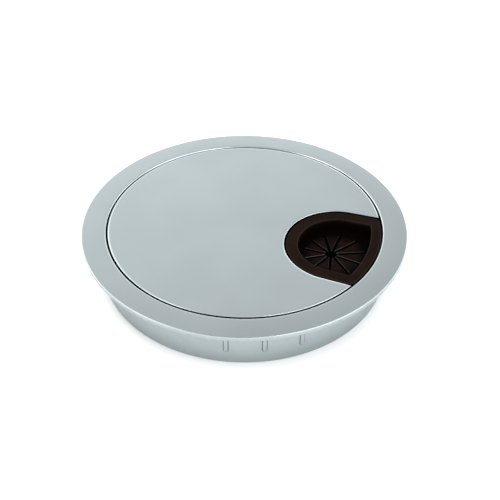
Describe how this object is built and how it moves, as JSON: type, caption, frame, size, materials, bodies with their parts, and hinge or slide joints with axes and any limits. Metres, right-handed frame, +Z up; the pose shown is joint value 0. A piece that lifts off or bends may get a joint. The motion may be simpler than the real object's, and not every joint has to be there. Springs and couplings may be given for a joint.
{
  "type": "desk grommet",
  "caption": "Round metal cable outlet for a desk top, with a turning lift-out lid and a rubber star that closes round the cables.",
  "frame": {"origin": "centre of the flange's underside, on the axis of the barrel: the point where that axis meets the desk's surface", "axes": "+Z is up, out of the desk; +X points from the centre to the outlet at rest; +Y completes the right-handed frame"},
  "size_m": [0.09, 0.09, 0.0143],
  "materials": {
    "cast_metal": "satin",
    "outlet_plastic": "matte",
    "star_rubber": "matte",
    "glide_plastic": "matte",
    "screw_steel": "satin"
  },
  "bodies": {
    "ring": {"mounting_ring": "cast_metal"},
    "glide": {"glide_ring": "glide_plastic"},
    "lid": {"lid_plate": "cast_metal", "outlet_frame": "outlet_plastic", "membrane_band": "star_rubber", "membrane_retainer": "outlet_plastic", "retainer_screws": "screw_steel"},
    "petal_01": {"petal_01": "star_rubber"},
    "petal_02": {"petal_02": "star_rubber"},
    "petal_03": {"petal_03": "star_rubber"},
    "petal_04": {"petal_04": "star_rubber"},
    "petal_05": {"petal_05": "star_rubber"},
    "petal_06": {"petal_06": "star_rubber"},
    "petal_07": {"petal_07": "star_rubber"},
    "petal_08": {"petal_08": "star_rubber"},
    "petal_09": {"petal_09": "star_rubber"},
    "petal_10": {"petal_10": "star_rubber"},
    "petal_11": {"petal_11": "star_rubber"}
  },
  "joints": [
    {"name": "lid_turn", "type": "hinge", "parent": "ring", "child": "glide", "pos_m": [0, 0, 0], "axis": [0, 0, 1], "continuous": true},
    {"name": "lid_lift", "type": "slide", "parent": "glide", "child": "lid", "axis": [0, 0, 1], "range_m": [0, 0.02]},
    {"name": "petal_01_bend", "type": "hinge", "parent": "lid", "child": "petal_01", "pos_m": [0.03437, 0.00072, -0.0023], "axis": [0.0785, -0.9969, 0], "range_deg": [-40, 60], "stiffness_Nm_per_rad": 0.00008},
    {"name": "petal_02_bend", "type": "hinge", "parent": "lid", "child": "petal_02", "pos_m": [0.03236, 0.00544, -0.0023], "axis": [0.605, -0.7962, 0], "range_deg": [-40, 60], "stiffness_Nm_per_rad": 0.00008},
    {"name": "petal_03_bend", "type": "hinge", "parent": "lid", "child": "petal_03", "pos_m": [0.02813, 0.00803, -0.0023], "axis": [0.9394, -0.3428, 0], "range_deg": [-40, 60], "stiffness_Nm_per_rad": 0.00008},
    {"name": "petal_04_bend", "type": "hinge", "parent": "lid", "child": "petal_04", "pos_m": [0.02345, 0.00779, -0.0023], "axis": [0.9756, 0.2195, 0], "range_deg": [-40, 60], "stiffness_Nm_per_rad": 0.00008},
    {"name": "petal_05_bend", "type": "hinge", "parent": "lid", "child": "petal_05", "pos_m": [0.01987, 0.00526, -0.0023], "axis": [0.702, 0.7121, 0], "range_deg": [-40, 60], "stiffness_Nm_per_rad": 0.00008},
    {"name": "petal_06_bend", "type": "hinge", "parent": "lid", "child": "petal_06", "pos_m": [0.01813, 0.00148, -0.0023], "axis": [0.2056, 0.9786, 0], "range_deg": [-40, 60], "stiffness_Nm_per_rad": 0.00008},
    {"name": "petal_07_bend", "type": "hinge", "parent": "lid", "child": "petal_07", "pos_m": [0.01841, -0.00259, -0.0023], "axis": [-0.3561, 0.9344, 0], "range_deg": [-40, 60], "stiffness_Nm_per_rad": 0.00008},
    {"name": "petal_08_bend", "type": "hinge", "parent": "lid", "child": "petal_08", "pos_m": [0.02069, -0.00612, -0.0023], "axis": [-0.8048, 0.5935, 0], "range_deg": [-40, 60], "stiffness_Nm_per_rad": 0.00008},
    {"name": "petal_09_bend", "type": "hinge", "parent": "lid", "child": "petal_09", "pos_m": [0.02468, -0.00812, -0.0023], "axis": [-0.9979, 0.0642, 0], "range_deg": [-40, 60], "stiffness_Nm_per_rad": 0.00008},
    {"name": "petal_10_bend", "type": "hinge", "parent": "lid", "child": "petal_10", "pos_m": [0.02942, -0.00759, -0.0023], "axis": [-0.8742, -0.4855, 0], "range_deg": [-40, 60], "stiffness_Nm_per_rad": 0.00008},
    {"name": "petal_11_bend", "type": "hinge", "parent": "lid", "child": "petal_11", "pos_m": [0.0332, -0.0043, -0.0023], "axis": [-0.473, -0.8811, 0], "range_deg": [-40, 60], "stiffness_Nm_per_rad": 0.00008}
  ]
}
